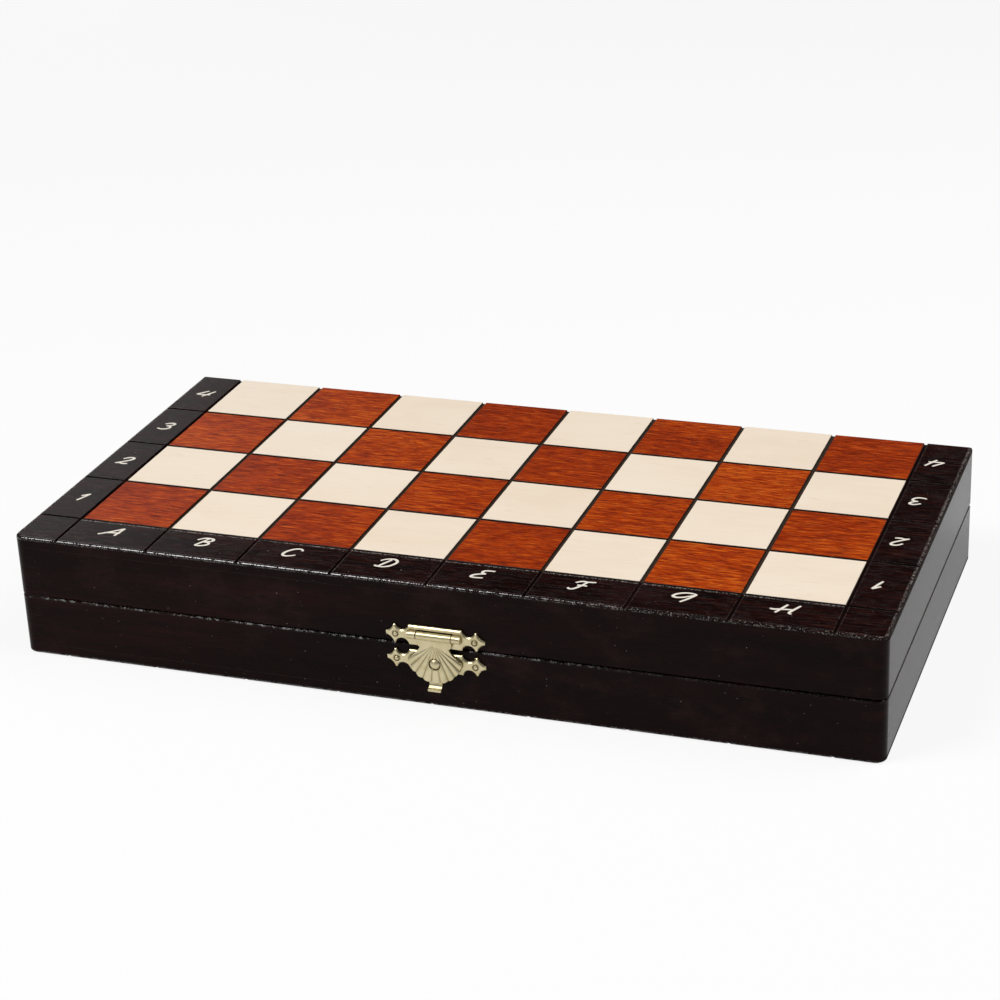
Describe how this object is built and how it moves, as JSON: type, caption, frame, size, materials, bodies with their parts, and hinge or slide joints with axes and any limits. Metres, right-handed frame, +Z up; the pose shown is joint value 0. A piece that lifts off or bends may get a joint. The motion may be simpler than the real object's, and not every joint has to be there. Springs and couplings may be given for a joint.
{
  "type": "folding chess board",
  "caption": "Flat wooden folding box with a chess board on its outer faces, hinged at the rear and closed by a small brass hasp, with lined trays inside for the chessmen.",
  "frame": {"origin": "middle of the underside of the closed wooden case", "axes": "+X along the length, to the right seen from the latch; +Y towards the hinges; +Z up"},
  "size_m": [0.31, 0.1636, 0.0456],
  "materials": {
    "dark_wood": "dark brown stain under satin lacquer",
    "red_veneer": "red-brown stain under satin lacquer",
    "pale_veneer": "pale close-grained wood under satin lacquer",
    "felt": "dark green felt",
    "brass": "bright stamped brass"
  },
  "bodies": {
    "lower_half": {"lower_board": "dark_wood", "lower_light_squares": "pale_veneer", "lower_dark_squares": "red_veneer", "lower_front_rail": "dark_wood", "lower_rear_rail": "dark_wood", "lower_left_rail": "dark_wood", "lower_right_rail": "dark_wood", "lower_lining": "felt", "lower_hinge_screws": "brass", "hinge_left_lower_leaf": "brass", "hinge_left_pin": "brass", "hinge_right_lower_leaf": "brass", "hinge_right_pin": "brass", "lower_latch_plate": "brass", "lower_latch_nails": "brass", "catch_stud": "brass"},
    "upper_half": {"upper_board": "dark_wood", "upper_light_squares": "pale_veneer", "upper_dark_squares": "red_veneer", "upper_front_rail": "dark_wood", "upper_rear_rail": "dark_wood", "upper_left_rail": "dark_wood", "upper_right_rail": "dark_wood", "upper_lining": "felt", "upper_hinge_screws": "brass", "hinge_left_upper_leaf": "brass", "hinge_right_upper_leaf": "brass", "upper_latch_plate": "brass", "upper_latch_nails": "brass", "hasp_pin": "brass"},
    "hasp": {"hasp": "brass"}
  },
  "joints": [
    {"name": "fold", "type": "hinge", "parent": "lower_half", "child": "upper_half", "pos_m": [0, 0.0789, 0.0228], "axis": [-1, 0, 0], "range_deg": [0, 180]},
    {"name": "hasp_swing", "type": "hinge", "parent": "upper_half", "child": "hasp", "pos_m": [0.0029, -0.08055, 0.0272], "axis": [-1, 0, 0], "range_deg": [0, 160]}
  ]
}
